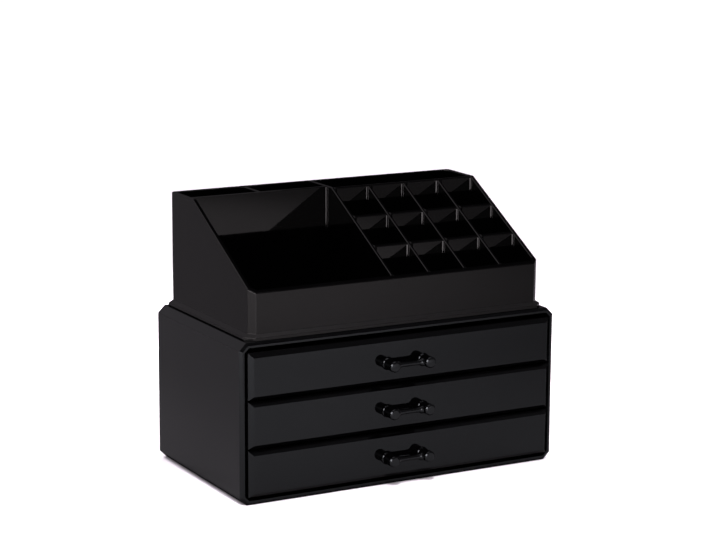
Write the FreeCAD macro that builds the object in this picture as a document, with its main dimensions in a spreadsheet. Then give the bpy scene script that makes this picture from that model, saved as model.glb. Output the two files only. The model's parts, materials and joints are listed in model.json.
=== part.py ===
import FreeCAD, Part
import os
import Sketcher

# Make-up organiser in glossy polystyrene: a low cabinet with three drawers, and an open tray with a
# brush row, one large bay and a grid of small slots that stands loose on top of it.
# Millimetres. X to the right, Y to the back, Z up. The origin is under the middle of the whole thing,
# drawer pulls included. Inside a part's own frame y = 0 is the plane of the cabinet's front rim,
# except on the organiser, where it is the organiser's front face.

doc = FreeCAD.newDocument("brush_holder")
sheet = doc.addObject("Spreadsheet::Sheet", "Sizes")

driving_sizes = [
    # cabinet: an eight-sided tube with a bevelled front rim
    ("cabinet_width", 240.0),
    ("cabinet_depth", 130.0),
    ("cabinet_height", 108.5),
    ("cabinet_wall", 3.2),
    ("long_chamfer", 5.0),
    ("rim_chamfer", 1.7),
    ("back_thickness", 2.4),
    ("back_seat", 1.4),
    ("back_lip", 1.4),
    ("back_lip_width", 3.0),
    ("glue_gap", 0.1),
    # shelves, the grooves that hold them and the runners under the drawers
    ("shelf_thickness", 1.8),
    ("shelf_front", 4.0),
    ("shelf_play", 0.2),
    ("rib_reach", 2.4),
    ("rib_height", 1.6),
    ("rib_draft", 0.5),
    ("rib_front", 1.7),
    ("runner_height", 0.8),
    ("runner_width", 3.0),
    ("runner_inset", 16.0),
    # drawers
    ("drawer_count", 3),
    ("front_gap", 1.0),
    ("front_side_gap", 1.8),
    ("front_floor_gap", 2.5),
    ("front_top_gap", 3.1),
    ("front_proud", 3.9),
    ("front_seat", 1.5),
    ("front_bevel", 2.9),
    ("tray_lift", 1.5),
    ("tray_headroom", 1.8),
    ("tray_wall", 1.8),
    ("tray_corner", 4.0),
    ("tray_bevel", 1.5),
    ("seat_play", 0.15),
    ("slide_play", 0.3),
    ("side_play", 0.6),
    ("back_play", 0.8),
    # bridge pulls and their screws
    ("pull_spacing", 27.0),
    ("pull_reach", 11.4),
    ("pull_drop", 1.8),
    ("post_radius", 3.8),
    ("post_base_radius", 4.3),
    ("post_base_height", 1.2),
    ("post_chamfer", 0.8),
    ("bar_reach", 6.2),
    ("bar_end_radius", 2.9),
    ("bar_waist", 1.1),
    ("bar_collar", 0.8),
    ("bar_waist_length", 13.0),
    ("bar_plug", 1.5),
    ("bar_play", 0.05),
    ("screw_radius", 1.25),
    ("screw_length", 9.5),
    ("screw_head_radius", 2.6),
    ("screw_head_height", 1.7),
    ("screw_clearance", 0.25),
    ("screw_slot", 0.7),
    ("pilot_play", 0.05),
    # organiser
    ("organiser_width", 219.0),
    ("organiser_depth", 121.5),
    ("organiser_height", 79.2),
    ("organiser_setback", 5.5),
    ("organiser_wall", 2.1),
    ("organiser_floor", 2.0),
    ("corner_chamfer", 4.1),
    ("low_edge_height", 31.7),
    ("slope_start", 86.6),
    ("foot_flare", 3.0),
    ("foot_lip", 0.8),
    ("foot_height", 4.3),
    ("foot_recess", 1.5),
    # partitions
    ("partition", 2.0),
    ("edge_chamfer", 0.4),
    ("centre_offset", 4.0),
    ("slot_back_front", 85.5),
    ("brush_wall_front", 93.0),
    ("brush_divider_offset", 56.2),
    ("slot_columns", 4),
    ("slot_rows", 3),
    ("lap_play", 0.1),
]
for row, (alias, value) in enumerate(driving_sizes, start=1):
    sheet.set("A%d" % row, alias)
    sheet.set("B%d" % row, str(value))
    sheet.setAlias("B%d" % row, alias)
doc.recompute()


def size(alias):
    """The number a cell holds, for the parts that are worked out in code."""
    return float(getattr(sheet, alias))


def of(text):
    """An expression with each bare alias turned into its cell of the sheet."""
    for alias in sorted((name for name, _ in driving_sizes), key=len, reverse=True):
        text = text.replace("<%s>" % alias, "Sizes.%s" % alias)
    return text


# ---------------------------------------------------------------- values that follow from the sheet
rim_y = "(<front_proud> + <pull_reach> - <cabinet_depth>) / 2"
inside_half = "(<cabinet_width> / 2 - <cabinet_wall>)"
inner_chamfer = "(<long_chamfer> - <cabinet_wall> * (2 - sqrt(2)))"
sill = "(<cabinet_wall> + <front_floor_gap>)"
opening_height = "(<cabinet_height> - 2 * <cabinet_wall> - <front_floor_gap> - <front_top_gap>)"
drawer_pitch = "((%s + <front_gap>) / <drawer_count>)" % opening_height
front_height = "(%s - <front_gap>)" % drawer_pitch
under_and_over = "(<slide_play> + <runner_height> + <shelf_thickness> + <tray_headroom>)"
tray_height = "(%s - %s)" % (drawer_pitch, under_and_over)
rib_tip = "(%s - <rib_reach>)" % inside_half
floor_rib_top = "(%s + <tray_lift> - <slide_play>)" % sill
thread_reach = "(<screw_length> - <glue_gap> - <tray_wall> - <front_proud>)"
inner_back = "(<cabinet_depth> - <back_thickness> - <back_lip>)"
tray_half = "(%s - <rib_reach> - <side_play>)" % inside_half
tray_back = "(%s - <back_play>)" % inner_back
pull_height = "(%s / 2 - <pull_drop>)" % front_height
pull_half = "(<pull_spacing> / 2)"

slope_rate = "((<organiser_height> - <low_edge_height>) / <slope_start>)"
floor_top = "(<foot_recess> + <organiser_floor>)"
bay_half = "(<organiser_width> / 2 - <organiser_wall>)"
bay_back = "(<organiser_depth> - <organiser_wall>)"
grid_left = "(<partition> / 2 - <centre_offset>)"
slot_wide = "((%s - %s - (<slot_columns> - 1) * <partition>) / <slot_columns>)" % (bay_half, grid_left)
slot_deep = "((<slot_back_front> - <organiser_wall> - (<slot_rows> - 1) * <partition>) / <slot_rows>)"


def shelf_top(level):
    """Upper face of a shelf: the drawer above runs on its runners with a little play."""
    return "(%s + %s * %d - <runner_height>)" % (floor_rib_top, drawer_pitch, level + 1)


def on_slope(y):
    """Height of the organiser's sloping edge at depth y."""
    return "(<low_edge_height> + %s * (%s))" % (slope_rate, y)


# ---------------------------------------------------------------- helpers
def work_out(text):
    """The value of an expression of the sheet's cells."""
    return float(sheet.evalExpression(of(text)))


def new_body(name, x="0", y=rim_y, z="0"):
    body = doc.addObject("PartDesign::Body", name)
    body.Label = name
    for axis, text in (("x", x), ("y", y), ("z", z)):
        body.setExpression("Placement.Base.%s" % axis, of(text))
    return body


def new_sketch(body, plane, offset="0"):
    """An empty sketch on one of the body's own origin planes, moved along its normal by offset."""
    sketch = body.newObject("Sketcher::SketchObject", body.Name + "_sketch")
    sketch.AttachmentSupport = [origin_plane(body, plane)]
    sketch.MapMode = "FlatFace"
    sketch.setExpression("AttachmentOffset.Base.z", of(offset))
    return sketch


def pin(sketch, geometry, point, x, y):
    """Fix a point of the sketch at two expressions."""
    for kind, text in (("DistanceX", x), ("DistanceY", y)):
        here = sketch.getPoint(geometry, point)
        start = here.x if kind == "DistanceX" else here.y
        number = sketch.addConstraint(Sketcher.Constraint(kind, -1, 1, geometry, point, start))
        sketch.setExpression("Constraints[%d]" % number, of(text))


def draw_outline(sketch, corners):
    """A closed outline of straight edges through corners given as pairs of expressions."""
    places = [FreeCAD.Vector(work_out(x), work_out(y), 0) for x, y in corners]
    first = sketch.GeometryCount
    count = len(corners)
    for step in range(count):
        sketch.addGeometry(Part.LineSegment(places[step], places[(step + 1) % count]))
    for step in range(count):
        after = first + (step + 1) % count
        sketch.addConstraint(Sketcher.Constraint("Coincident", first + step, 2, after, 1))
    for step, (x, y) in enumerate(corners):
        pin(sketch, first + step, 1, x, y)


def draw_circle(sketch, x, y, radius):
    centre = FreeCAD.Vector(work_out(x), work_out(y), 0)
    start = work_out(radius)
    circle = sketch.addGeometry(Part.Circle(centre, FreeCAD.Vector(0, 0, 1), start))
    number = sketch.addConstraint(Sketcher.Constraint("Radius", circle, start))
    sketch.setExpression("Constraints[%d]" % number, of(radius))
    pin(sketch, circle, 3, x, y)


def rectangle(left, right, low, high):
    return [(left, low), (right, low), (right, high), (left, high)]


def eight_sides(half, low, high, cut):
    """A rectangle, half to each side of the middle, with its four corners cut at 45 degrees."""
    return [
        ("-(%s - %s)" % (half, cut), low),
        ("%s - %s" % (half, cut), low),
        (half, "%s + %s" % (low, cut)),
        (half, "%s - %s" % (high, cut)),
        ("%s - %s" % (half, cut), high),
        ("-(%s - %s)" % (half, cut), high),
        ("-" + half, "%s - %s" % (high, cut)),
        ("-" + half, "%s + %s" % (low, cut)),
    ]


def pad(body, sketch, length, backwards=False, midplane=False):
    feature = body.newObject("PartDesign::Pad", body.Name + "_pad")
    feature.Profile = sketch
    feature.setExpression("Length", of(length))
    feature.Reversed = backwards
    feature.Midplane = midplane
    doc.recompute()
    return feature


def cut_out(body, sketch, length, reversed_way=False, both_ways=False):
    """A pocket that has to take something away, so its volume is compared."""
    before = body.Shape.Volume
    feature = body.newObject("PartDesign::Pocket", body.Name + "_pocket")
    feature.Profile = sketch
    feature.setExpression("Length", of(length))
    feature.Reversed = reversed_way
    feature.Midplane = both_ways
    doc.recompute()
    if not body.Shape.Volume < before - 0.01:
        raise RuntimeError("a cut-out of %s takes nothing away" % body.Label)
    return feature


def edges_where(feature, test):
    """Names of the edges whose bounding box passes the test."""
    names = []
    for number, edge in enumerate(feature.Shape.Edges, start=1):
        if test(edge.BoundBox):
            names.append("Edge%d" % number)
    if not names:
        raise RuntimeError("no edge found on %s" % feature.Label)
    return names


def dress(body, kind, names, amount):
    """A fillet or chamfer on named edges of the body's tip."""
    base = body.Tip
    feature = body.newObject("PartDesign::" + kind, body.Name + "_" + kind.lower())
    feature.Base = (base, names)
    feature.setExpression("Radius" if kind == "Fillet" else "Size", of(amount))
    doc.recompute()
    return feature


def revolve(body, sketch, axis):
    feature = body.newObject("PartDesign::Revolution", body.Name + "_turn")
    feature.Profile = sketch
    feature.ReferenceAxis = (sketch, [axis])
    feature.Angle = 360
    doc.recompute()
    return feature


def origin_plane(body, role):
    return ([item for item in body.Origin.OriginFeatures if item.Role == role][0], [""])


def same(first, second):
    return abs(first - second) < 0.001


# ---------------------------------------------------------------- cabinet
def make_cabinet_shell():
    """Eight-sided tube with a bevelled front rim, shelf grooves, floor runners and a seat at the back."""
    body = new_body("cabinet_shell")
    ceiling = "(<cabinet_height> - <cabinet_wall>)"
    outside = new_sketch(body, "XZ_Plane")
    draw_outline(outside, eight_sides("(<cabinet_width> / 2)", "0", "<cabinet_height>", "<long_chamfer>"))
    pad(body, outside, "<cabinet_depth>", backwards=True)
    inside = new_sketch(body, "XZ_Plane")
    draw_outline(inside, eight_sides(inside_half, "<cabinet_wall>", ceiling, inner_chamfer))
    cut_out(body, inside, "<cabinet_depth>")

    # the eight outer edges of the front rim stand outside a line half a wall in from the faces
    half_width = size("cabinet_width") / 2 - size("cabinet_wall") / 2
    middle = size("cabinet_height") / 2
    half_height = middle - size("cabinet_wall") / 2
    rim = edges_where(body.Tip, lambda box: same(box.YMin, 0) and same(box.YMax, 0)
                      and (max(abs(box.XMin), abs(box.XMax)) > half_width
                           or max(abs(box.ZMin - middle), abs(box.ZMax - middle)) > half_height))
    dress(body, "Chamfer", rim, "<rim_chamfer>")

    seat = new_sketch(body, "XZ_Plane", "-<cabinet_depth>")
    draw_outline(seat, back_outline("<back_seat>"))
    cut_out(body, seat, "<back_thickness>", reversed_way=True)

    # a pair of ribs on each side wall makes the groove of a shelf
    ribs = new_sketch(body, "XZ_Plane", "-<rib_front>")
    for level in (0, 1):
        groove_low = "(%s - <shelf_thickness> - <shelf_play> / 2)" % shelf_top(level)
        groove_high = "(%s + <shelf_play> / 2)" % shelf_top(level)
        draw_outline(ribs, [(rib_tip, groove_low), (inside_half, groove_low),
                            (inside_half, "%s - <rib_height>" % groove_low),
                            (rib_tip, "%s - <rib_height> + <rib_draft>" % groove_low)])
        draw_outline(ribs, [(rib_tip, groove_high),
                            (rib_tip, "%s + <rib_height> - <rib_draft>" % groove_high),
                            (inside_half, "%s + <rib_height>" % groove_high),
                            (inside_half, groove_high)])
    rib_pad = pad(body, ribs, "%s - <rib_front>" % inner_back, backwards=True)

    # the bottom drawer runs on two ribs of the floor
    floor_rib = new_sketch(body, "XZ_Plane", "-<shelf_front>")
    draw_outline(floor_rib, runner("<cabinet_wall>", floor_rib_top))
    floor_pad = pad(body, floor_rib, "%s - <shelf_front>" % inner_back, backwards=True)
    mirror_over(body, [rib_pad, floor_pad])


def back_outline(outward):
    """The tube's inside outline, moved outward."""
    half = "(%s + %s)" % (inside_half, outward)
    cut = "(%s + (%s) * (2 - sqrt(2)))" % (inner_chamfer, outward)
    low = "(<cabinet_wall> - (%s))" % outward
    high = "(<cabinet_height> - <cabinet_wall> + (%s))" % outward
    return eight_sides(half, low, high, cut)


def runner(low, high):
    """A drawer runner in section: a low rib with sloping flanks."""
    middle = "(%s - <runner_inset>)" % tray_half
    foot = "<runner_width> / 2"
    return [("%s - %s" % (middle, foot), low), ("%s + %s" % (middle, foot), low),
            ("%s + %s - <rib_draft>" % (middle, foot), high),
            ("%s - %s + <rib_draft>" % (middle, foot), high)]


def mirror_over(body, features, plane="YZ_Plane"):
    mirror = body.newObject("PartDesign::Mirrored", body.Name + "_mirror")
    mirror.Originals = features
    mirror.MirrorPlane = origin_plane(body, plane)
    body.Tip = mirror
    doc.recompute()


def make_back_panel():
    """Plate in the seat at the back, with a raised frame that locates it in the tube."""
    body = new_body("back_panel")
    front = "(<cabinet_depth> - <back_thickness>)"
    plate = new_sketch(body, "XZ_Plane", "-" + front)
    draw_outline(plate, back_outline("<back_seat> - <glue_gap>"))
    pad(body, plate, "<back_thickness>", backwards=True)
    frame = new_sketch(body, "XZ_Plane", "-" + front)
    draw_outline(frame, back_outline("-<glue_gap>"))
    draw_outline(frame, back_outline("-<glue_gap> - <back_lip_width>"))
    pad(body, frame, "<back_lip> - <glue_gap>")


def make_shelf(name, level):
    """Thin plate held in the grooves, with a runner near each side for the drawer above."""
    body = new_body(name)
    low = "(%s - <shelf_thickness>)" % shelf_top(level)
    plate = new_sketch(body, "XZ_Plane", "-<shelf_front>")
    half = "(%s - <shelf_play>)" % inside_half
    draw_outline(plate, rectangle("-" + half, half, low, shelf_top(level)))
    length = "%s - <shelf_play> - <shelf_front>" % inner_back
    pad(body, plate, length, backwards=True)
    front_edges = edges_where(body.Tip, lambda box: same(box.YMin, size("shelf_front"))
                              and same(box.YMax, size("shelf_front")) and box.XLength > box.ZLength)
    dress(body, "Chamfer", front_edges, "<edge_chamfer>")
    rib = new_sketch(body, "XZ_Plane", "-<shelf_front> - <runner_width>")
    draw_outline(rib, runner(shelf_top(level), "(%s + <runner_height>)" % shelf_top(level)))
    rib_pad = pad(body, rib, length + " - <runner_width>", backwards=True)
    mirror_over(body, [rib_pad])


# ---------------------------------------------------------------- drawers
def make_drawer_front(name, rise):
    """Bevelled slab, recessed at the back for the drawer tray, with two screw holes."""
    body = new_body(name, z=rise)
    slab = new_sketch(body, "XZ_Plane", "<front_proud>")
    half = "(%s - <front_side_gap>)" % inside_half
    draw_outline(slab, rectangle("-" + half, half, "0", front_height))
    pad(body, slab, "<front_proud> + <front_seat>", backwards=True)
    face = -size("front_proud")
    rim = edges_where(body.Tip, lambda box: same(box.YMin, face) and same(box.YMax, face))
    dress(body, "Chamfer", rim, "<front_bevel>")
    seat = new_sketch(body, "XZ_Plane", "-<front_seat>")
    seat_half = "(%s + <seat_play>)" % tray_half
    low = "(<tray_lift> - <seat_play>)"
    high = "(<tray_lift> + %s + <seat_play>)" % tray_height
    draw_outline(seat, rectangle("-" + seat_half, seat_half, low, high))
    cut_out(body, seat, "<front_seat>", reversed_way=True)
    holes = new_sketch(body, "XZ_Plane", "-<front_seat>")
    for side in ("-", ""):
        draw_circle(holes, side + pull_half, pull_height, "(<screw_radius> + <screw_clearance>)")
    cut_out(body, holes, "<front_seat> + <front_proud>", reversed_way=True)


def make_drawer_tray(name, rise):
    """Thin-walled tray with rounded back corners and a bevelled bottom edge."""
    body = new_body(name, z=rise)
    block = new_sketch(body, "XY_Plane", "<tray_lift>")
    draw_outline(block, rectangle("-" + tray_half, tray_half, "<glue_gap>", tray_back))
    pad(body, block, tray_height)
    tall = work_out(tray_height)
    bend = size("tray_corner")
    corners = edges_where(body.Tip, lambda box: same(box.ZLength, tall) and box.YMin > bend)
    dress(body, "Fillet", corners, "<tray_corner>")
    bottom = edges_where(body.Tip, lambda box: same(box.ZMax, size("tray_lift")) and box.YMax > bend)
    dress(body, "Chamfer", bottom, "<tray_bevel>")
    hollow = new_sketch(body, "XY_Plane", "<tray_lift> + <tray_wall>")
    inner = "(%s - <tray_wall>)" % tray_half
    draw_outline(hollow, rectangle("-" + inner, inner, "<glue_gap> + <tray_wall>", tray_back + " - <tray_wall>"))
    cut_out(body, hollow, tray_height, reversed_way=True)
    deep = work_out(tray_height + " - <tray_wall>")
    inner_corners = edges_where(body.Tip, lambda box: same(box.ZLength, deep) and box.YMin > bend)
    dress(body, "Fillet", inner_corners, "<tray_corner> - <tray_wall>")
    holes = new_sketch(body, "XZ_Plane", "-<glue_gap> - 2 * <tray_wall>")
    for side in ("-", ""):
        draw_circle(holes, side + pull_half, pull_height, "(<screw_radius> + <screw_clearance>)")
    cut_out(body, holes, "3 * <tray_wall>", reversed_way=True)


def make_pull_post(name, side, rise):
    """Turned post with a low base flange and a chamfered end, cut flat for the bar, bored for the screw."""
    across = pull_half if side > 0 else "-" + pull_half
    body = new_body(name, x=across, y="%s - <front_proud>" % rim_y, z="%s + %s" % (rise, pull_height))
    corners = [("0", "0"), ("<post_base_radius>", "0"), ("<post_base_radius>", "-<post_base_height>"),
               ("<post_radius>", "-<post_base_height>")]
    corners += [("<post_radius>", "-<pull_reach> + <post_chamfer>"),
                ("<post_radius> - <post_chamfer>", "-<pull_reach>"), ("0", "-<pull_reach>")]
    profile = new_sketch(body, "XY_Plane")
    draw_outline(profile, corners)
    revolve(body, profile, "V_Axis")
    inward = "-" if side > 0 else ""
    seat = new_sketch(body, "YZ_Plane", inward + "(<post_radius> - <bar_plug>)")
    half = "(<bar_end_radius> + <bar_play>)"
    draw_outline(seat, rectangle("-<bar_reach> - " + half, "-<bar_reach> + " + half, "-" + half, half))
    cut_out(body, seat, "<post_radius>", reversed_way=side < 0)
    pilot = new_sketch(body, "XZ_Plane")
    draw_circle(pilot, "0", "0", "(<screw_radius> + <pilot_play>)")
    cut_out(body, pilot, "%s + <screw_clearance>" % thread_reach, reversed_way=True)


def make_pull_bar(name, rise):
    """Turned bar that tapers to a thinner middle; its ends sit in the posts."""
    body = new_body(name, y="%s - <front_proud> - <bar_reach>" % rim_y,
                    z="%s + %s" % (rise, pull_height))
    end = "(%s - <post_radius> + <bar_plug> - <bar_play>)" % pull_half
    neck = "(%s - <bar_plug> - <bar_collar>)" % end
    thin = "(<bar_end_radius> - <bar_waist>)"
    waist = "(<bar_waist_length> / 2)"
    profile = new_sketch(body, "XZ_Plane")
    draw_outline(profile, [("-" + end, "0"), (end, "0"), (end, "<bar_end_radius>"),
                           (neck, "<bar_end_radius>"), (waist, thin), ("-" + waist, thin),
                           ("-" + neck, "<bar_end_radius>"), ("-" + end, "<bar_end_radius>")])
    revolve(body, profile, "H_Axis")


def make_pull_screws(name, rise):
    """Two pan-head screws, driven from inside the drawer through its front into the posts."""
    body = new_body(name, y="%s + <glue_gap> + <tray_wall>" % rim_y, z="%s + %s" % (rise, pull_height))
    body.AllowCompound = True
    heads = new_sketch(body, "XZ_Plane")
    shanks = new_sketch(body, "XZ_Plane")
    slots = new_sketch(body, "XZ_Plane", "-<screw_head_height>")
    arm = "(<screw_head_radius> * 0.6)"
    thin = "(<screw_slot> / 2)"
    for side in ("-", ""):
        middle = "(%s%s)" % (side, pull_half)
        draw_circle(heads, middle, "0", "<screw_head_radius>")
        draw_circle(shanks, middle, "0", "<screw_radius>")
        draw_outline(slots, [("%s - %s" % (middle, arm), "-" + thin), ("%s - %s" % (middle, thin), "-" + thin),
                             ("%s - %s" % (middle, thin), "-" + arm), ("%s + %s" % (middle, thin), "-" + arm),
                             ("%s + %s" % (middle, thin), "-" + thin), ("%s + %s" % (middle, arm), "-" + thin),
                             ("%s + %s" % (middle, arm), thin), ("%s + %s" % (middle, thin), thin),
                             ("%s + %s" % (middle, thin), arm), ("%s - %s" % (middle, thin), arm),
                             ("%s - %s" % (middle, thin), thin), ("%s - %s" % (middle, arm), thin)])
    pad(body, heads, "<screw_head_height>", backwards=True)
    cut_out(body, slots, "<screw_head_height> / 2", reversed_way=True)
    pad(body, shanks, "<screw_length>")


# ---------------------------------------------------------------- organiser
# Its parts share one frame: y = 0 is its front face and z = 0 its foot, which stands on the cabinet.
organiser_y = "(%s + <organiser_setback>)" % rim_y
organiser_z = "<cabinet_height>"


def tray_outline(outward):
    """The organiser's outline in plan, moved outward from its outside face."""
    half = "(<organiser_width> / 2 + (%s))" % outward
    cut = "(<corner_chamfer> + (%s) * (2 - sqrt(2)))" % outward
    return eight_sides(half, "-(%s)" % outward, "(<organiser_depth> + (%s))" % outward, cut)


def rim_at(y):
    """Height of the organiser's upper edge at depth y: a slope that levels off at the back."""
    rate = (size("organiser_height") - size("low_edge_height")) / size("slope_start")
    return min(size("organiser_height"), size("low_edge_height") + rate * y)


def ease_upper_edges(body):
    """Chamfer the edges between the upright faces and the upper faces that follow the rim."""
    shape = body.Tip.Shape
    names = []
    for number, edge in enumerate(shape.Edges, start=1):
        if not all(same(point.Z, rim_at(point.Y)) for point in edge.Vertexes):
            continue
        faces = shape.ancestorsOfType(edge, Part.Face)
        upright = [face for face in faces if same(face.normalAt(0, 0).z, 0)]
        if len(upright) == 1:
            names.append("Edge%d" % number)
    if not names:
        raise RuntimeError("no upper edge found on %s" % body.Label)
    dress(body, "Chamfer", names, "<edge_chamfer>")


def make_organiser_tray():
    """Open tray with cut corners, a sloping front and sides, and a flared foot."""
    body = new_body("organiser_tray", y=organiser_y, z=organiser_z)
    outside = new_sketch(body, "XY_Plane")
    draw_outline(outside, tray_outline("0"))
    pad(body, outside, "<organiser_height>")
    over = new_sketch(body, "YZ_Plane")
    clear = "<organiser_height> + <foot_flare>"
    draw_outline(over, [("-<foot_flare>", on_slope("-<foot_flare>")), ("<slope_start>", "<organiser_height>"),
                        ("<slope_start>", clear), ("-<foot_flare>", clear)])
    cut_out(body, over, "<organiser_width> + 2 * <foot_flare>", both_ways=True)

    # foot: a short upright lip, then a flare that runs into the walls
    lip = new_sketch(body, "XY_Plane")
    draw_outline(lip, tray_outline("<foot_flare>"))
    pad(body, lip, "<foot_lip>")
    lower = new_sketch(body, "XY_Plane", "<foot_lip>")
    draw_outline(lower, tray_outline("<foot_flare>"))
    upper = new_sketch(body, "XY_Plane", "<foot_height>")
    draw_outline(upper, tray_outline("0"))
    flare = body.newObject("PartDesign::AdditiveLoft", body.Name + "_flare")
    flare.Profile = lower
    flare.Sections = [upper]
    flare.Ruled = True
    doc.recompute()

    inside = new_sketch(body, "XY_Plane", floor_top)
    draw_outline(inside, tray_outline("-<organiser_wall>"))
    cut_out(body, inside, "<organiser_height>", reversed_way=True)
    under = new_sketch(body, "XY_Plane")
    draw_outline(under, tray_outline("-<organiser_wall>"))
    cut_out(body, under, "<foot_recess>", reversed_way=True)
    ease_upper_edges(body)


def column_x(column):
    """Middle of a slot divider, counted from the left."""
    return "(%s + %s * %d + <partition> * (%d - 0.5))" % (grid_left, slot_wide, column, column)


def row_y(row):
    """Middle of a cross wall, counted from the front."""
    return "(<organiser_wall> + %s * %d + <partition> * (%d - 0.5))" % (slot_deep, row, row)


def lap_height(row):
    """Where a divider and a cross wall meet halfway up, each notched for the other."""
    return "((%s + %s) / 2)" % (floor_top, on_slope(row_y(row)))


def make_lengthwise(name, middle_x, front, back, rows=()):
    """A partition that runs from front to back under the rim line, notched from below at each row."""
    body = new_body(name, x=middle_x, y=organiser_y, z=organiser_z)
    outline = new_sketch(body, "YZ_Plane")
    corners = [(back, floor_top)]
    if work_out(back) > size("slope_start"):
        corners.append((back, "<organiser_height>"))
        if work_out(front) < size("slope_start"):
            corners.append(("<slope_start>", "<organiser_height>"))
            corners.append((front, on_slope(front)))
        else:
            corners.append((front, "<organiser_height>"))
    else:
        corners.append((back, on_slope(back)))
        corners.append((front, on_slope(front)))
    corners.append((front, floor_top))
    for row in rows:
        near = "(%s - <partition> / 2 - <lap_play>)" % row_y(row)
        far = "(%s + <partition> / 2 + <lap_play>)" % row_y(row)
        notch_top = "(%s + <lap_play>)" % lap_height(row)
        corners += [(near, floor_top), (near, notch_top), (far, notch_top), (far, floor_top)]
    draw_outline(outline, corners)
    pad(body, outline, "<partition>", midplane=True)
    ease_upper_edges(body)


def make_crosswise(name, front_y, left, right, height, columns=(), row=None):
    """A partition that runs from side to side, notched from above at each column."""
    body = new_body(name, y=organiser_y, z=organiser_z)
    outline = new_sketch(body, "XZ_Plane", "-" + front_y)
    corners = [(left, floor_top), (right, floor_top), (right, height)]
    for column in reversed(columns):
        far = "(%s + <partition> / 2 + <lap_play>)" % column_x(column)
        near = "(%s - <partition> / 2 - <lap_play>)" % column_x(column)
        corners += [(far, height), (far, lap_height(row)), (near, lap_height(row)), (near, height)]
    corners.append((left, height))
    draw_outline(outline, corners)
    pad(body, outline, "<partition>", backwards=True)
    if work_out(front_y) < size("slope_start"):
        # the top follows the slope of the rim
        over = new_sketch(body, "YZ_Plane")
        back = "(%s + <partition>)" % front_y
        clear = "(<organiser_height> + <partition>)"
        draw_outline(over, [(front_y + " - <partition>", on_slope(front_y + " - <partition>")),
                            (back + " + <partition>", on_slope(back + " + <partition>")),
                            (back + " + <partition>", clear + " + <partition>"),
                            (front_y + " - <partition>", clear + " + <partition>")])
        cut_out(body, over, "2 * <organiser_width>", both_ways=True)
    ease_upper_edges(body)


def make_organiser():
    make_organiser_tray()
    left_end = "(<glue_gap> - %s)" % bay_half
    right_end = "(%s - <glue_gap>)" % bay_half
    near_end = "(<organiser_wall> + <glue_gap>)"
    far_end = "(%s - <glue_gap>)" % bay_back
    grid_edge = "(%s + <glue_gap>)" % grid_left
    brush_edge = "(%s - <partition> - <glue_gap>)" % grid_left
    brush_back = "(<brush_wall_front> + <partition> + <glue_gap>)"
    grid_back = "(<slot_back_front> - <glue_gap>)"
    make_lengthwise("centre_divider", "-<centre_offset>", near_end, far_end)
    make_lengthwise("brush_divider", "-<brush_divider_offset>", brush_back, far_end)
    make_crosswise("brush_wall", "<brush_wall_front>", left_end, brush_edge, "<organiser_height>")
    make_crosswise("slot_back_wall", "<slot_back_front>", grid_edge, right_end, "<organiser_height>")
    for column, where in ((1, "left"), (2, "middle"), (3, "right")):
        make_lengthwise("slot_divider_" + where, column_x(column), near_end, grid_back, rows=(1, 2))
    for row, where in ((1, "front"), (2, "rear")):
        front_y = "(%s - <partition> / 2)" % row_y(row)
        height = on_slope("%s + <partition> / 2" % row_y(row))
        make_crosswise("slot_cross_wall_" + where, front_y, grid_edge, right_end, height,
                       columns=(1, 2, 3), row=row)


# ---------------------------------------------------------------- the whole thing
make_cabinet_shell()
make_back_panel()
make_shelf("lower_shelf", 0)
make_shelf("upper_shelf", 1)
for level, where in enumerate(("bottom", "middle", "top")):
    rise = "(%s + %d * %s)" % (sill, level, drawer_pitch)
    make_drawer_tray(where + "_drawer_tray", rise)
    make_drawer_front(where + "_drawer_front", rise)
    make_pull_post(where + "_pull_post_left", -1, rise)
    make_pull_post(where + "_pull_post_right", 1, rise)
    make_pull_bar(where + "_pull_bar", rise)
    make_pull_screws(where + "_pull_screws", rise)
make_organiser()
doc.recompute()

# ---------------------------------------------------------------- checks and files
faults = []
for item in doc.Objects:
    if "Invalid" in item.State or "Error" in item.State:
        faults.append("%s (%s) is %s" % (item.Label, item.Name, ", ".join(item.State)))
pieces = [item for item in doc.Objects if item.TypeId == "PartDesign::Body"]
for piece in pieces:
    if piece.Shape.isNull() or not piece.Shape.isValid():
        faults.append("%s has no valid shape" % piece.Label)
if faults:
    raise RuntimeError("; ".join(faults))

os.makedirs("parts", exist_ok=True)
for piece in pieces:
    piece.Shape.exportStep(os.path.join("parts", piece.Label + ".step"))
    box = piece.Shape.optimalBoundingBox(False)
    print("%-24s %8.2f cm3   x %7.2f %7.2f   y %7.2f %7.2f   z %7.2f %7.2f" % (
        piece.Label, piece.Shape.Volume / 1000, box.XMin, box.XMax, box.YMin, box.YMax, box.ZMin, box.ZMax))
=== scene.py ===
import json
import math

import bpy
import bmesh
from mathutils import Euler, Matrix, Vector


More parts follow.
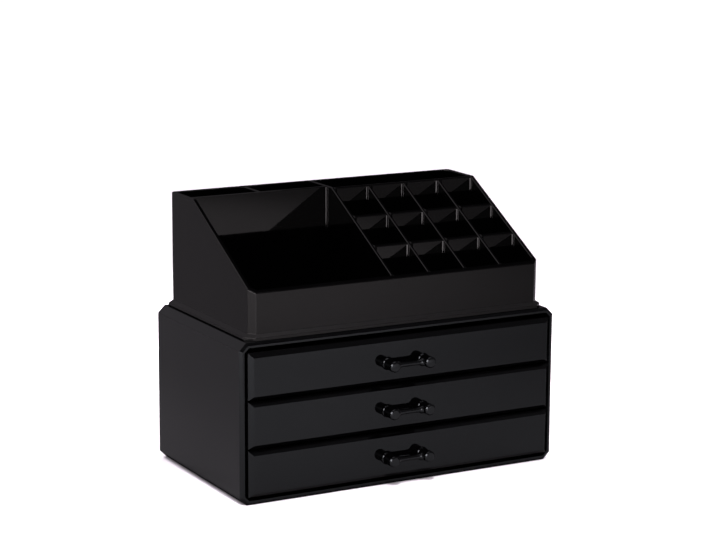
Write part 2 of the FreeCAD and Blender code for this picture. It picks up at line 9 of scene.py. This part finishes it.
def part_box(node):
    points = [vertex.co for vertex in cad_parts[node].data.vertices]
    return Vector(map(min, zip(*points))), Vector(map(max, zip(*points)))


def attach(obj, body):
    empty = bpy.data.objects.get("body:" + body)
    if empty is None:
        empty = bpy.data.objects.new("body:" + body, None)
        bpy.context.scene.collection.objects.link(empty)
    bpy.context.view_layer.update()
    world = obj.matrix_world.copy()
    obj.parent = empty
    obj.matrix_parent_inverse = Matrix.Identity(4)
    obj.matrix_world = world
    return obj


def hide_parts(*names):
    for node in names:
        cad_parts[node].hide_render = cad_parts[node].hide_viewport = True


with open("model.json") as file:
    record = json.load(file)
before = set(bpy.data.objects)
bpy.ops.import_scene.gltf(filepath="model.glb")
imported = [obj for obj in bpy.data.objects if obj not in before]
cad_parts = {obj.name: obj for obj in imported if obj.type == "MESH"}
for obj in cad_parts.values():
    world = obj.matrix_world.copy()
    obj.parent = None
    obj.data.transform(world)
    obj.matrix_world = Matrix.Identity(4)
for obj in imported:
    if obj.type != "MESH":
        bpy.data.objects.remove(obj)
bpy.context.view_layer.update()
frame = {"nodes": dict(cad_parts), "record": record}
scene = bpy.context.scene
mm = 0.001
sameSpot = 1e-7             # points of a new mesh nearer than this are one, in metres
sameSolidSpot = 2e-6        # the same for a solid's mesh
print("frame loaded:", len(frame["nodes"]), "nodes")


class Value:
    # a socket that can stand in sums
    def __init__(self, shader, socket):
        self.shader = shader
        self.socket = socket

    def mathWith(self, operation, first, second, clamp=False):
        settings = {"operation": operation, "use_clamp": clamp}
        return self.shader.add("ShaderNodeMath", settings, {0: first, 1: second})

    def __add__(self, other):
        return self.mathWith("ADD", self, other)

    def __radd__(self, other):
        return self.mathWith("ADD", other, self)

    def __sub__(self, other):
        return self.mathWith("SUBTRACT", self, other)

    def __rsub__(self, other):
        return self.mathWith("SUBTRACT", other, self)

    def __mul__(self, other):
        return self.mathWith("MULTIPLY", self, other)

    def __rmul__(self, other):
        return self.mathWith("MULTIPLY", other, self)

    def clipped(self):
        return self.mathWith("ADD", self, 0.0, clamp=True)


class Shader:
    # the nodes of a new material, or of the world
    def __init__(self, owner, outputKind="ShaderNodeOutputMaterial"):
        self.owner = owner
        owner.use_nodes = True
        self.nodes = owner.node_tree.nodes
        self.links = owner.node_tree.links
        self.nodes.clear()
        self.output = self.nodes.new(outputKind)

    def add(self, kind, settings=None, inputs=None, take=0):
        node = self.nodes.new(kind)
        for name, value in (settings or {}).items():
            setattr(node, name, value)
        for name, value in (inputs or {}).items():
            if isinstance(value, Value):
                self.links.new(value.socket, node.inputs[name])
            else:
                node.inputs[name].default_value = value
        return Value(self, node.outputs[take])

    def place(self):
        return self.add("ShaderNodeTexCoord", take="Object")

    def part(self, vector, axis):
        return self.add("ShaderNodeSeparateXYZ", {}, {0: vector}, take=axis)

    def noise(self, where, scale, detail, rough):
        return self.add("ShaderNodeTexNoise", {}, {"Vector": where, "Scale": scale,
                                                   "Detail": detail, "Roughness": rough})

    def stretched(self, where, scale, turn=(0, 0, 0)):
        return self.add("ShaderNodeMapping", {}, {"Vector": where, "Scale": scale,
                                                  "Rotation": turn})

    def ramp(self, value, low, high):
        # 0 below low, 1 above high, smooth between
        return self.add("ShaderNodeMapRange", {"interpolation_type": "SMOOTHSTEP"},
                        {"Value": value, "From Min": low, "From Max": high})

    def patches(self, where, pattern):
        scale, detail, rough, low, high = pattern
        return self.ramp(self.noise(where, scale, detail, rough), low, high)

    def colourMix(self, amount, first, second):
        return self.add("ShaderNodeMix", {"data_type": "RGBA"},
                        {0: amount, 6: first, 7: second}, take=2)

    def bump(self, height, **more):
        return self.add("ShaderNodeBump", {}, {"Height": height, "Strength": 1.0,
                                               "Distance": 1.0, **more})

    def finish(self, surface):
        self.links.new(surface.socket, self.output.inputs["Surface"])
        return self.owner


styrene = {
    "colour": (0.0004, 0.0004, 0.00045, 1),
    "scuffColour": (0.0014, 0.0014, 0.0015, 1),
    "shineTint": (0.90, 1.0, 0.99, 1),
    "shine": 0.172,             # share of the glossy shader in the mix
    "underShade": 0.7,           # painted shade: how much of that share is taken away where a surface faces down
    "underShadeSlope": (0.2, 0.6),   # downward slope where the painted shade begins and where it is full
    "ior": 1.5,
    "roughness": 0.03,
    "edgeRadius": 0.00035,
    "edgeSamples": 6,
    # scale, detail and roughness of a noise, then where its patches begin and are full
    "smudges": (14.0, 4.0, 0.55, 0.45, 0.72),
    "scratches": (260.0, 2.0, 0.5, 0.58, 0.70),
    "dust": (1900.0, 1.0, 0.5, 0.72, 0.80),
    "scratchStretch": (1, 1, 3.2),
    "scratchTurn": (0.2, 0.1, 0.6),
    # what the patches add to the scuff colour and to the roughness
    "smudgeScuff": 0.25,
    "dustScuff": 0.5,
    "smudgeRoughness": 0.07,
    "scratchRoughness": 0.02,
    "dustRoughness": 0.2,
    "ripples": (9.0, 1.0, 0.4),     # long waves left by the mould
    "rippleHeight": 0.00010,
    "grain": (700.0, 2.0, 0.6),
    "grainHeight": 0.000004,
}


def makeStyrene(name, look):
    s = Shader(bpy.data.materials.new(name))
    here = s.place()
    smudge = s.patches(here, look["smudges"])
    scratch = s.patches(s.stretched(here, look["scratchStretch"], look["scratchTurn"]),
                        look["scratches"])
    dust = s.patches(here, look["dust"])
    scuff = (smudge * look["smudgeScuff"] + dust * look["dustScuff"]).clipped()
    colour = s.colourMix(scuff, look["colour"], look["scuffColour"])
    rough = (look["roughness"] + smudge * look["smudgeRoughness"]
             + scratch * look["scratchRoughness"] + dust * look["dustRoughness"])
    height = (s.noise(here, *look["ripples"]) * look["rippleHeight"]
              + s.noise(here, *look["grain"]) * look["grainHeight"])
    softEdge = s.add("ShaderNodeBevel", {"samples": look["edgeSamples"]},
                     {"Radius": look["edgeRadius"]})
    bump = s.bump(height, Normal=softEdge)
    gloss = s.add("ShaderNodeBsdfPrincipled", {}, {
        "Base Color": colour, "Roughness": rough, "IOR": look["ior"],
        "Specular Tint": look["shineTint"], "Normal": bump})
    dull = s.add("ShaderNodeBsdfDiffuse", {}, {"Color": colour, "Normal": bump})
    # painted shade: undersides and lower bevels lose part of their gloss, so they come out darker
    upward = s.part(s.add("ShaderNodeNewGeometry", take="Normal"), "Z")
    underShadeMask = s.ramp(0 - upward, *look["underShadeSlope"])
    shine = look["shine"] * (1 - underShadeMask * look["underShade"])
    return s.finish(s.add("ShaderNodeMixShader", {}, {0: shine, 1: dull, 2: gloss}))


zinc = {
    "colour": (0.55, 0.55, 0.57, 1),
    "dull": (0.30, 0.30, 0.31, 1),
    "dullShare": 0.6,
    "roughness": 0.28,
    "patches": (420.0, 3.0, 0.5, 0.4, 0.65),
    "patchRoughness": 0.12,
    "lines": (2600.0, 2.0, 0.5),
    "lineStretch": (1, 0.1, 1),
    "lineHeight": 0.000004,
}


def makeZinc(look):
    s = Shader(bpy.data.materials.new("bright_zinc"))
    here = s.place()
    patches = s.patches(here, look["patches"])
    lines = s.noise(s.stretched(here, look["lineStretch"]), *look["lines"])
    colour = s.colourMix(patches * look["dullShare"], look["colour"], look["dull"])
    return s.finish(s.add("ShaderNodeBsdfPrincipled", {}, {
        "Base Color": colour, "Metallic": 1.0,
        "Roughness": look["roughness"] + patches * look["patchRoughness"],
        "Normal": s.bump(lines * look["lineHeight"])}))


trayStyrene = dict(styrene, shine=0.128, shineTint=(0.99, 1.0, 0.94, 1))
glossBlack = makeStyrene("gloss_black_styrene", styrene)
trayBlack = makeStyrene("gloss_black_tray", trayStyrene)
pullBlack = makeStyrene("gloss_black_pull", dict(styrene, shine=0.195, roughness=0.02))
# painted sheen for the front of the organiser's foot: the tray's finish, rougher, with a much
# larger glossy share
sheenedFootBlack = makeStyrene("painted_sheen_black_foot", dict(trayStyrene, shine=0.42, roughness=0.36))
zincPlate = makeZinc(zinc)
finishes = {"black_polystyrene": glossBlack, "black_pull": pullBlack, "screw_steel": zincPlate}

organiserNodes = frame["record"]["behaviour"]["bodies"]["organiser"]
for part in frame["record"]["subparts"]:
    node = frame["nodes"][part["node"]]
    inOrganiser = part["node"] in organiserNodes
    node.data.materials.clear()
    node.data.materials.append(trayBlack if inOrganiser else finishes[part["material_slot"]])
print("finishes on", len(frame["nodes"]), "nodes")


def makePiece(name, bm, body, finish, smooth=False):
    mesh = bpy.data.meshes.new(name)
    for face in bm.faces:
        face.smooth = smooth
    bm.to_mesh(mesh)
    bm.free()
    mesh.materials.append(finish)
    piece = bpy.data.objects.new(name, mesh)
    scene.collection.objects.link(piece)
    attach(piece, body)
    return piece


def turned(outline, centre, axis, sides):
    # spins (radius, height) pairs, in mm, round an axis through centre
    bm = bmesh.new()
    along, across = Vector(axis), Vector((0, 0, 1))
    points = [bm.verts.new(Vector(centre) + across * radius * mm + along * height * mm)
              for radius, height in outline]
    chain = [bm.edges.new(pair) for pair in zip(points, points[1:])]
    bmesh.ops.spin(bm, geom=points + chain, cent=centre, axis=axis, angle=math.tau,
                   steps=sides, use_merge=True)
    bmesh.ops.remove_doubles(bm, verts=bm.verts, dist=sameSpot)
    bmesh.ops.recalc_face_normals(bm, faces=bm.faces)
    return bm


def roundEdges(bm, edges, width, segments):
    bmesh.ops.bevel(bm, geom=edges, offset=width * mm, affect="EDGES", segments=segments,
                    profile=0.5, material=-1, clamp_overlap=True)


# sizes in mm; lengths run outwards from the drawer's front
post = {
    "sides": 48,
    "ring": 0.5,            # thickness of the base ring, and how far it stands out
    "ringSlope": 0.7,
    "groove": (0.25, 1.0),  # depth, and distance from the ring
    "capLength": 3.4,
    "capBevel": (0.85, 0.95),
    "softEdge": 0.16,
    "sharpFrom": 30,        # degrees
    "softSegments": 2,
}


def makePost(drawer, side, look):
    node = drawer + "_pull_post_" + side
    low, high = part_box(node)
    centre = ((low[0] + high[0]) / 2, high[1], (low[2] + high[2]) / 2)
    base = (high[0] - low[0]) / 2 / mm
    reach = (high[1] - low[1]) / mm
    ring = look["ring"]
    neck = base - ring
    grooveDepth, grooveStart = look["groove"]
    bevelIn, bevelLength = look["capBevel"]
    outline = [(0, 0), (base, 0), (base, ring), (neck, ring + look["ringSlope"]),
               (neck - grooveDepth, ring + grooveStart), (neck, reach - look["capLength"]),
               (neck, reach - bevelLength), (neck - bevelIn, reach), (0, reach)]
    bm = turned(outline, centre, (0, -1, 0), look["sides"])
    sharp = [edge for edge in bm.edges if len(edge.link_faces) == 2
             and edge.calc_face_angle(0) > math.radians(look["sharpFrom"])]
    roundEdges(bm, sharp, look["softEdge"], look["softSegments"])
    piece = makePiece(drawer + "_turned_post_" + side, bm, drawer + "_drawer",
                      pullBlack, smooth=True)
    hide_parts(node)


bar = {
    "sides": 48,
    # distance from the bar's end, and how much thinner it is there
    "waist": [(2.1, 0), (2.7, 0.1), (3.3, 0.5), (3.8, 0.85), (4.6, 1.0), (6.8, 1.1)],
    "middle": 1.15,         # the same in the middle
}


def makeBar(drawer, look):
    node = drawer + "_pull_bar"
    low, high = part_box(node)
    centre = [(start + end) / 2 for start, end in zip(low, high)]
    half = (high[0] - low[0]) / 2 / mm
    thick = (high[2] - low[2]) / 2 / mm
    right = [(0, half), (thick, half)]
    right += [(thick - thinner, half - inward) for inward, thinner in look["waist"]]
    left = [(radius, -height) for radius, height in right]
    outline = left + [(thick - look["middle"], 0)] + right[::-1]
    bm = turned(outline, centre, (1, 0, 0), look["sides"])
    piece = makePiece(drawer + "_turned_bar", bm, drawer + "_drawer",
                      pullBlack, smooth=True)
    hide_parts(node)


# pairs are a radius and a depth under the head's top
screw = {
    "sides": 32,
    "dome": [(0, 0), (1.2, 0.03), (2.0, 0.22), (2.45, 0.62)],
    "rim": (1.1, 1.55),         # depths between which the head is widest
    "headBack": (2.4, 1.7),
    "core": 1.0,
    "crest": 1.25,
    "ridges": 9,
    "ridgeShape": (0.35, 0.7),  # where a ridge has its crest and its end, as shares of the pitch
    "threadGap": 0.05,          # plain length between head and thread
    "plainTip": 1.2,
    "tip": (0.8, 0.9),          # radius, and distance from the end
    "slotWidth": 0.7,
    "slotDepth": 0.8,
    "slotWithin": 0.7,          # the slot is cut from the part of the dome above this depth
    "slotTurns": (-15, 85),     # degrees, left and right
}


def cutSlot(bm, centre, look):
    halfWidth = look["slotWidth"] / 2 * mm
    for across in (-1, 1):
        bmesh.ops.bisect_plane(bm, geom=bm.verts[:] + bm.edges[:] + bm.faces[:],
                               plane_co=(centre[0] + across * halfWidth, centre[1], centre[2]),
                               plane_no=(1, 0, 0), dist=sameSpot)
    slot = []
    for face in bm.faces:
        middle = face.calc_center_median()
        if abs(middle.x - centre[0]) < halfWidth and middle.y > centre[1] - look["slotWithin"] * mm:
            slot.append(face)
    moved = bmesh.ops.extrude_face_region(bm, geom=slot)["geom"]
    bmesh.ops.delete(bm, geom=slot, context="FACES")
    bmesh.ops.translate(bm, vec=(0, -look["slotDepth"] * mm, 0),
                        verts=[item for item in moved if isinstance(item, bmesh.types.BMVert)])


def makeScrews(drawer, look):
    node = drawer + "_pull_screws"
    low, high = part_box(node)
    headRadius = (high[2] - low[2]) / 2 / mm
    reach = (high[1] - low[1]) / mm
    spread = (high[0] - low[0]) / 2 - headRadius * mm
    headDepth = look["headBack"][1]
    pitch = (reach - headDepth - look["plainTip"]) / look["ridges"]
    crestAt, endAt = look["ridgeShape"]
    outline = look["dome"] + [(headRadius, depth) for depth in look["rim"]]
    outline += [look["headBack"], (look["core"], headDepth)]
    for ridge in range(look["ridges"]):
        start = headDepth + look["threadGap"] + pitch * ridge
        outline += [(look["core"], start), (look["crest"], start + pitch * crestAt),
                    (look["core"], start + pitch * endAt)]
    outline += [(look["tip"][0], reach - look["tip"][1]), (0, reach)]
    whole = bmesh.new()
    for side, degrees in zip((-1, 1), look["slotTurns"]):
        centre = (side * spread, high[1], (low[2] + high[2]) / 2)
        bm = turned(outline, centre, (0, -1, 0), look["sides"])
        # the slot is cut upright, and the screw's turn is put back after it
        there = Matrix.Translation(centre)
        turn = Matrix.Rotation(math.radians(degrees), 4, "Y")
        bm.transform(there @ turn.inverted() @ there.inverted())
        cutSlot(bm, centre, look)
        bm.transform(there @ turn @ there.inverted())
        single = bpy.data.meshes.new("single_screw")
        bm.to_mesh(single)
        bm.free()
        whole.from_mesh(single)
        bpy.data.meshes.remove(single)
    piece = makePiece(drawer + "_pan_head_screws", whole, drawer + "_drawer",
                      zincPlate)
    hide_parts(node)


for drawer in ("bottom", "middle", "top"):
    makePost(drawer, "left", post)
    makePost(drawer, "right", post)
    makeBar(drawer, bar)
    makeScrews(drawer, screw)
print("pulls and screws made")


def solidCopy(node):
    # a merged copy of a solid's mesh
    bm = bmesh.new()
    bm.from_mesh(frame["nodes"][node].data)
    bmesh.ops.remove_doubles(bm, verts=bm.verts, dist=sameSolidSpot)
    return bm


# the solid's plate with its outer edges eased, so that the seam round it shows
backPanel = {"easedEdge": 0.7, "segments": 3, "flatWithin": 1}      # mm, count, degrees


def makeBackPanel(look):
    bm = solidCopy("back_panel")
    bmesh.ops.dissolve_limit(bm, angle_limit=math.radians(look["flatWithin"]), verts=bm.verts,
                             edges=bm.edges)
    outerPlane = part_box("back_panel")[1][1]
    rim = [edge for edge in bm.edges
           if all(abs(vert.co.y - outerPlane) < sameSolidSpot for vert in edge.verts)]
    roundEdges(bm, rim, look["easedEdge"], look["segments"])
    bmesh.ops.recalc_face_normals(bm, faces=bm.faces)
    piece = makePiece("eased_back_panel", bm, "cabinet", glossBlack)
    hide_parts("back_panel")


makeBackPanel(backPanel)
print("back panel made")

# the solid's tray with its outside a little fuller, and its foot upright below and flared above
tray = {
    # the solid's own sizes, in mm
    "flare": 3.0,           # how far the foot stands out of the walls
    "footHeight": 4.3,
    "wall": 2.1,
    "corner": 4.1,          # cut of the upright corners
    "lowEdge": 31.7,        # height of the front edge
    "highEdge": 79.2,
    "slopeDepth": 86.6,     # depth of the sloping edges
    # what changes
    "fuller": 0.8,          # how far the outside of the walls moves out
    "wider": 1.0,           # the same for the sides of the foot
    "lip": 2.2,             # height of the foot's upright band
    "backCorner": 1.8,      # cut of the back corners
    # what tells the solid's points apart
    "skin": 1.05,           # points deeper than this are the inside of the walls
    "cornerMargin": 0.9,
    "lipFrom": 0.5,
    "ringGap": (1.3, 4.0),  # heights between the two rings of the foot
    "edgeFrom": 10,         # points above this are on the upper edge
    "sheenWithin": 15,      # degrees; the foot's faces this near to forward and up get the painted sheen
}
traySlope = (tray["highEdge"] - tray["lowEdge"]) / tray["slopeDepth"]


def makeTray(look):
    low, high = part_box("organiser_tray")
    side = high[0] / mm - look["flare"]
    front = low[1] / mm + look["flare"]
    back = high[1] / mm - look["flare"]
    squarer = look["corner"] - look["backCorner"]
    gapLow, gapHigh = look["ringGap"]
    bm = solidCopy("organiser_tray")
    between = []            # points inside the flare's corners, which would fold when moved
    for vert in bm.verts:
        x, y, up = vert.co.x / mm, vert.co.y / mm, (vert.co.z - low[2]) / mm
        hand = math.copysign(1, x)
        # how far the point is outside the side, front and back walls, then the cut corners
        out = [abs(x) - side, front - y, y - back]
        corners = [(out[0] + other + look["corner"]) / math.sqrt(2) for other in out[1:]]
        if max(out + corners) < -look["skin"]:
            continue
        if gapLow < up < gapHigh:
            between.append(vert)
            continue
        inFoot = up <= gapLow
        reach = look["corner"] + look["cornerMargin"] + (look["flare"] if inFoot else 0)
        nearSide, nearFront, nearBack = (distance > -reach for distance in out)
        outward = 0 if inFoot else look["fuller"]
        if nearSide:
            vert.co.x += hand * (look["wider"] if inFoot else outward) * mm
        if nearFront:
            vert.co.y -= outward * mm
            if up > look["edgeFrom"]:
                vert.co.z -= traySlope * outward * mm
        if nearBack:
            vert.co.y += outward * mm
        if nearSide and nearBack:
            # the cut corner gets shorter from both ends
            if out[0] < out[2]:
                vert.co.x += hand * squarer * mm
            else:
                vert.co.y += squarer * mm
        if inFoot and up > look["lipFrom"]:
            vert.co.z = low[2] + look["lip"] * mm
    bmesh.ops.dissolve_verts(bm, verts=between)
    bmesh.ops.triangulate(bm, faces=[face for face in bm.faces if len(face.verts) > 3])
    bm.normal_update()
    forwardAndUp = Vector((0, -1, 1))
    for face in bm.faces:
        # painted sheen: the foot's faces turned forward and up get a rougher copy of the tray's
        # finish with more than three times its glossy share, so they come out brighter
        facing = face.normal.angle(forwardAndUp) < math.radians(look["sheenWithin"])
        if facing and face.calc_center_median().z < low[2] + look["footHeight"] * mm:
            face.material_index = 1
    piece = makePiece("organiser_moulded_tray", bm, "organiser", trayBlack)
    piece.data.materials.append(sheenedFootBlack)
    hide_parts("organiser_tray")


makeTray(tray)
print("organiser tray made")

# small webs in the corners where the organiser's partitions meet, sizes in mm
web = {
    "foot": 1.5,            # radius at the floor
    "top": 1.8,             # radius at the upper edge
    "steps": 6,
    "below": 0.45,          # how far under the edge the web stops
}


def trayInside():
    low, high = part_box("organiser_tray")
    # the foot is flared all round, so every side is taken in by the same amount
    inward = (tray["flare"] + tray["wall"]) * mm
    return low[0] + inward, low[1] + inward, high[0] - inward, high[1] - inward


def edgeHeight(y):
    low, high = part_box("organiser_tray")
    start = low[1] + tray["flare"] * mm
    return min(high[2], low[2] + tray["lowEdge"] * mm + traySlope * (y - start))


def findRooms():
    # the tray's compartments: left, front, right, back
    left, front, right, back = trayInside()
    centre, brushWall, brushDivider, slotBack = (
        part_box(name) for name in ("centre_divider", "brush_wall", "brush_divider",
                                  "slot_back_wall"))
    columns = [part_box("slot_divider_" + name) for name in ("left", "middle", "right")]
    rows = [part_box("slot_cross_wall_" + name) for name in ("front", "rear")]
    rooms = [(left, front, centre[0][0], brushWall[0][1]),
             (left, brushWall[1][1], brushDivider[0][0], back),
             (brushDivider[1][0], brushWall[1][1], centre[0][0], back),
             (centre[1][0], slotBack[1][1], right, back)]
    lefts = [centre[1][0]] + [box[1][0] for box in columns]
    rights = [box[0][0] for box in columns] + [right]
    fronts = [front] + [box[1][1] for box in rows]
    backs = [box[0][1] for box in rows] + [slotBack[0][1]]
    for x0, x1 in zip(lefts, rights):
        for y0, y1 in zip(fronts, backs):
            rooms.append((x0, y0, x1, y1))
    return rooms


def addWeb(bm, corner, inX, inY, look):
    # a rounded corner at the floor, drawn up to the sloping edge
    radius = look["foot"] * mm
    start = bm.verts.new(corner + Vector((inX * radius, 0, 0)))
    bmesh.ops.spin(bm, geom=[start], cent=corner + Vector((inX, inY, 0)) * radius,
                   axis=(0, 0, 1), angle=-math.pi / 2 * inX * inY, steps=look["steps"])
    chain, onward = [], [start]
    while onward:
        chain.append(onward[0])
        neighbours = [edge.other_vert(chain[-1]) for edge in chain[-1].link_edges]
        onward = [vert for vert in neighbours if vert not in chain]
    foot = bm.faces.new(chain + [bm.verts.new(corner)])
    grown = bmesh.ops.extrude_face_region(bm, geom=[foot])["geom"]
    for vert in (item for item in grown if isinstance(item, bmesh.types.BMVert)):
        out = (vert.co - corner) * look["top"] / look["foot"]
        vert.co.x, vert.co.y = corner.x + out.x, corner.y + out.y
        vert.co.z = edgeHeight(vert.co.y) - look["below"] * mm


def makeWebs(look):
    left, front, right, back = trayInside()
    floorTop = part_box("centre_divider")[0][2]
    bm = bmesh.new()
    for x0, y0, x1, y1 in findRooms():
        for x, y, inX, inY in ((x0, y0, 1, 1), (x1, y0, -1, 1), (x1, y1, -1, -1), (x0, y1, 1, -1)):
            if x in (left, right) and y in (front, back):
                continue    # cut corners of the tray itself
            addWeb(bm, Vector((x, y, floorTop)), inX, inY, look)
    bmesh.ops.recalc_face_normals(bm, faces=bm.faces)
    makePiece("organiser_corner_webs", bm, "organiser", trayBlack)


makeWebs(web)
print("organiser webs made")

studio = {
    "floorSize": 24.0,
    "floorSegments": 24,
    "floorColour": (0.86, 0.86, 0.86, 1),
    "floorShade": (0.84, 0.84, 0.84, 1),
    "floorCloud": (2.0, 2.0, 0.5),
    "cloudShare": 0.5,
    "floorRoughness": 0.8,
    "lightTint": (1.0, 0.91, 1.0, 1),
    "sunPower": 3.6,
    "sunSpread": 70,        # degrees
    "sunTilt": (12, -10),
    # soft spots that brighten the floor: place, aim, power, cone in degrees, softness
    "pools": [
        ((-0.60, -1.10, 1.60), (-0.08, -0.38, 0), 400, 24, 0.15),
        ((-1.20, -0.70, 1.30), (-0.66, -0.34, 0), 500, 34, 0.20),
        ((-0.20, -1.60, 1.70), (0.18, -0.76, 0), 620, 20, 0.05),
        ((0.45, 1.50, 1.50), (0.12, 0.32, 0), 430, 19, 0.05),
        ((1.60, 0.20, 1.40), (0.46, 0.06, 0), 380, 19, 0.05),
    ],
    # boxes that show only as reflections: place, size, power
    "boxes": [
        ((-1.40, -0.85, 0.80), 0.95, 100),
        ((-0.85, 0.55, 1.45), 0.80, 10),
        ((-0.30, -0.50, 0.075), 0.24, 4.4),
        ((-0.43, 1.36, 0.85), 0.90, 3.4),
        ((-0.05, -0.02, 1.85), 1.40, 22),
    ],
    "boxAim": (0, 0, 0.09),
    # the surroundings: light at the horizon, dark overhead and behind
    "worldLight": 0.55,
    "worldDark": 0.07,
    "worldRange": (0.5, 0.95),      # height where the light begins to fall and where it ends
    "behindShare": 0.55,            # how much of the way back counts as height
}


def makeFloor(look):
    bm = bmesh.new()
    bmesh.ops.create_grid(bm, x_segments=look["floorSegments"], y_segments=look["floorSegments"],
                          size=look["floorSize"] / 2)
    mesh = bpy.data.meshes.new("floor")
    bm.to_mesh(mesh)
    bm.free()
    floor = bpy.data.objects.new("floor", mesh)
    scene.collection.objects.link(floor)
    s = Shader(bpy.data.materials.new("studio_floor"))
    cloud = s.noise(s.place(), *look["floorCloud"])
    colour = s.colourMix(cloud * look["cloudShare"], look["floorColour"], look["floorShade"])
    mesh.materials.append(s.finish(s.add("ShaderNodeBsdfPrincipled", {}, {
        "Base Color": colour, "Roughness": look["floorRoughness"]})))


def addLight(name, kind, power, place=(0, 0, 0), aim=(0, 0, -1)):
    data = bpy.data.lights.new(name, kind)
    data.energy = power
    data.color = studio["lightTint"][:3]
    light = bpy.data.objects.new(name, data)
    light.location = place
    light.rotation_euler = (Vector(aim) - light.location).to_track_quat("-Z", "Y").to_euler()
    scene.collection.objects.link(light)
    return light


def makeLights(look):
    sun = addLight("soft_sun", "SUN", look["sunPower"])
    sun.rotation_euler = Euler([math.radians(tilt) for tilt in look["sunTilt"]] + [0])
    sun.data.angle = math.radians(look["sunSpread"])
    sun.visible_glossy = False
    for number, (place, aim, power, cone, softness) in enumerate(look["pools"]):
        pool = addLight("floor_pool_%d" % number, "SPOT", power, place, aim)
        pool.data.spot_size = math.radians(cone)
        pool.data.spot_blend = 1.0
        pool.data.shadow_soft_size = softness
        pool.visible_glossy = False
    for number, (place, size, power) in enumerate(look["boxes"]):
        box = addLight("glint_box_%d" % number, "AREA", power, place, look["boxAim"])
        box.data.shape = "SQUARE"
        box.data.size = size
        box.visible_camera = False
        box.visible_diffuse = False


def makeWorld(look):
    s = Shader(bpy.data.worlds.new("studio_world"), "ShaderNodeOutputWorld")
    way = s.add("ShaderNodeTexCoord", take="Generated")
    height = s.part(way, "Z") + s.part(way, "Y") * look["behindShare"]
    low, high = look["worldRange"]
    light = s.add("ShaderNodeMapRange", {}, {
        "Value": height, "From Min": low, "From Max": high,
        "To Min": look["worldLight"], "To Max": look["worldDark"]})
    scene.world = s.finish(s.add("ShaderNodeBackground", {}, {
        "Color": look["lightTint"], "Strength": light}))
    scene.view_settings.view_transform = "Standard"
    scene.view_settings.look = "None"


makeFloor(studio)
makeLights(studio)
makeWorld(studio)
print("floor and lights set")

view = {
    "place": (-0.72422, -1.31393, 0.44342),
    "yaw": 28.77,           # degrees
    "pitch": 11.60,
    "roll": -0.31,
    "focalPixels": 2239.71,
    "imageWidth": 716,
    "sensorWidth": 36.0,
}


def makeCamera(look):
    yaw, pitch, roll = (math.radians(look[key]) for key in ("yaw", "pitch", "roll"))
    ahead = Vector((math.sin(yaw) * math.cos(pitch), math.cos(yaw) * math.cos(pitch),
                    -math.sin(pitch)))
    right = Vector((math.cos(yaw), -math.sin(yaw), 0))
    down = ahead.cross(right)
    across = right * math.cos(roll) + down * math.sin(roll)
    up = across.cross(ahead)
    turn = Matrix((across, up, -ahead)).transposed()
    data = bpy.data.cameras.new("studio_camera")
    data.sensor_width = look["sensorWidth"]
    data.lens = look["focalPixels"] / look["imageWidth"] * look["sensorWidth"]
    camera = bpy.data.objects.new("studio_camera", data)
    camera.matrix_world = Matrix.Translation(look["place"]) @ turn.to_4x4()
    scene.collection.objects.link(camera)
    scene.camera = camera


makeCamera(view)
print("camera set")
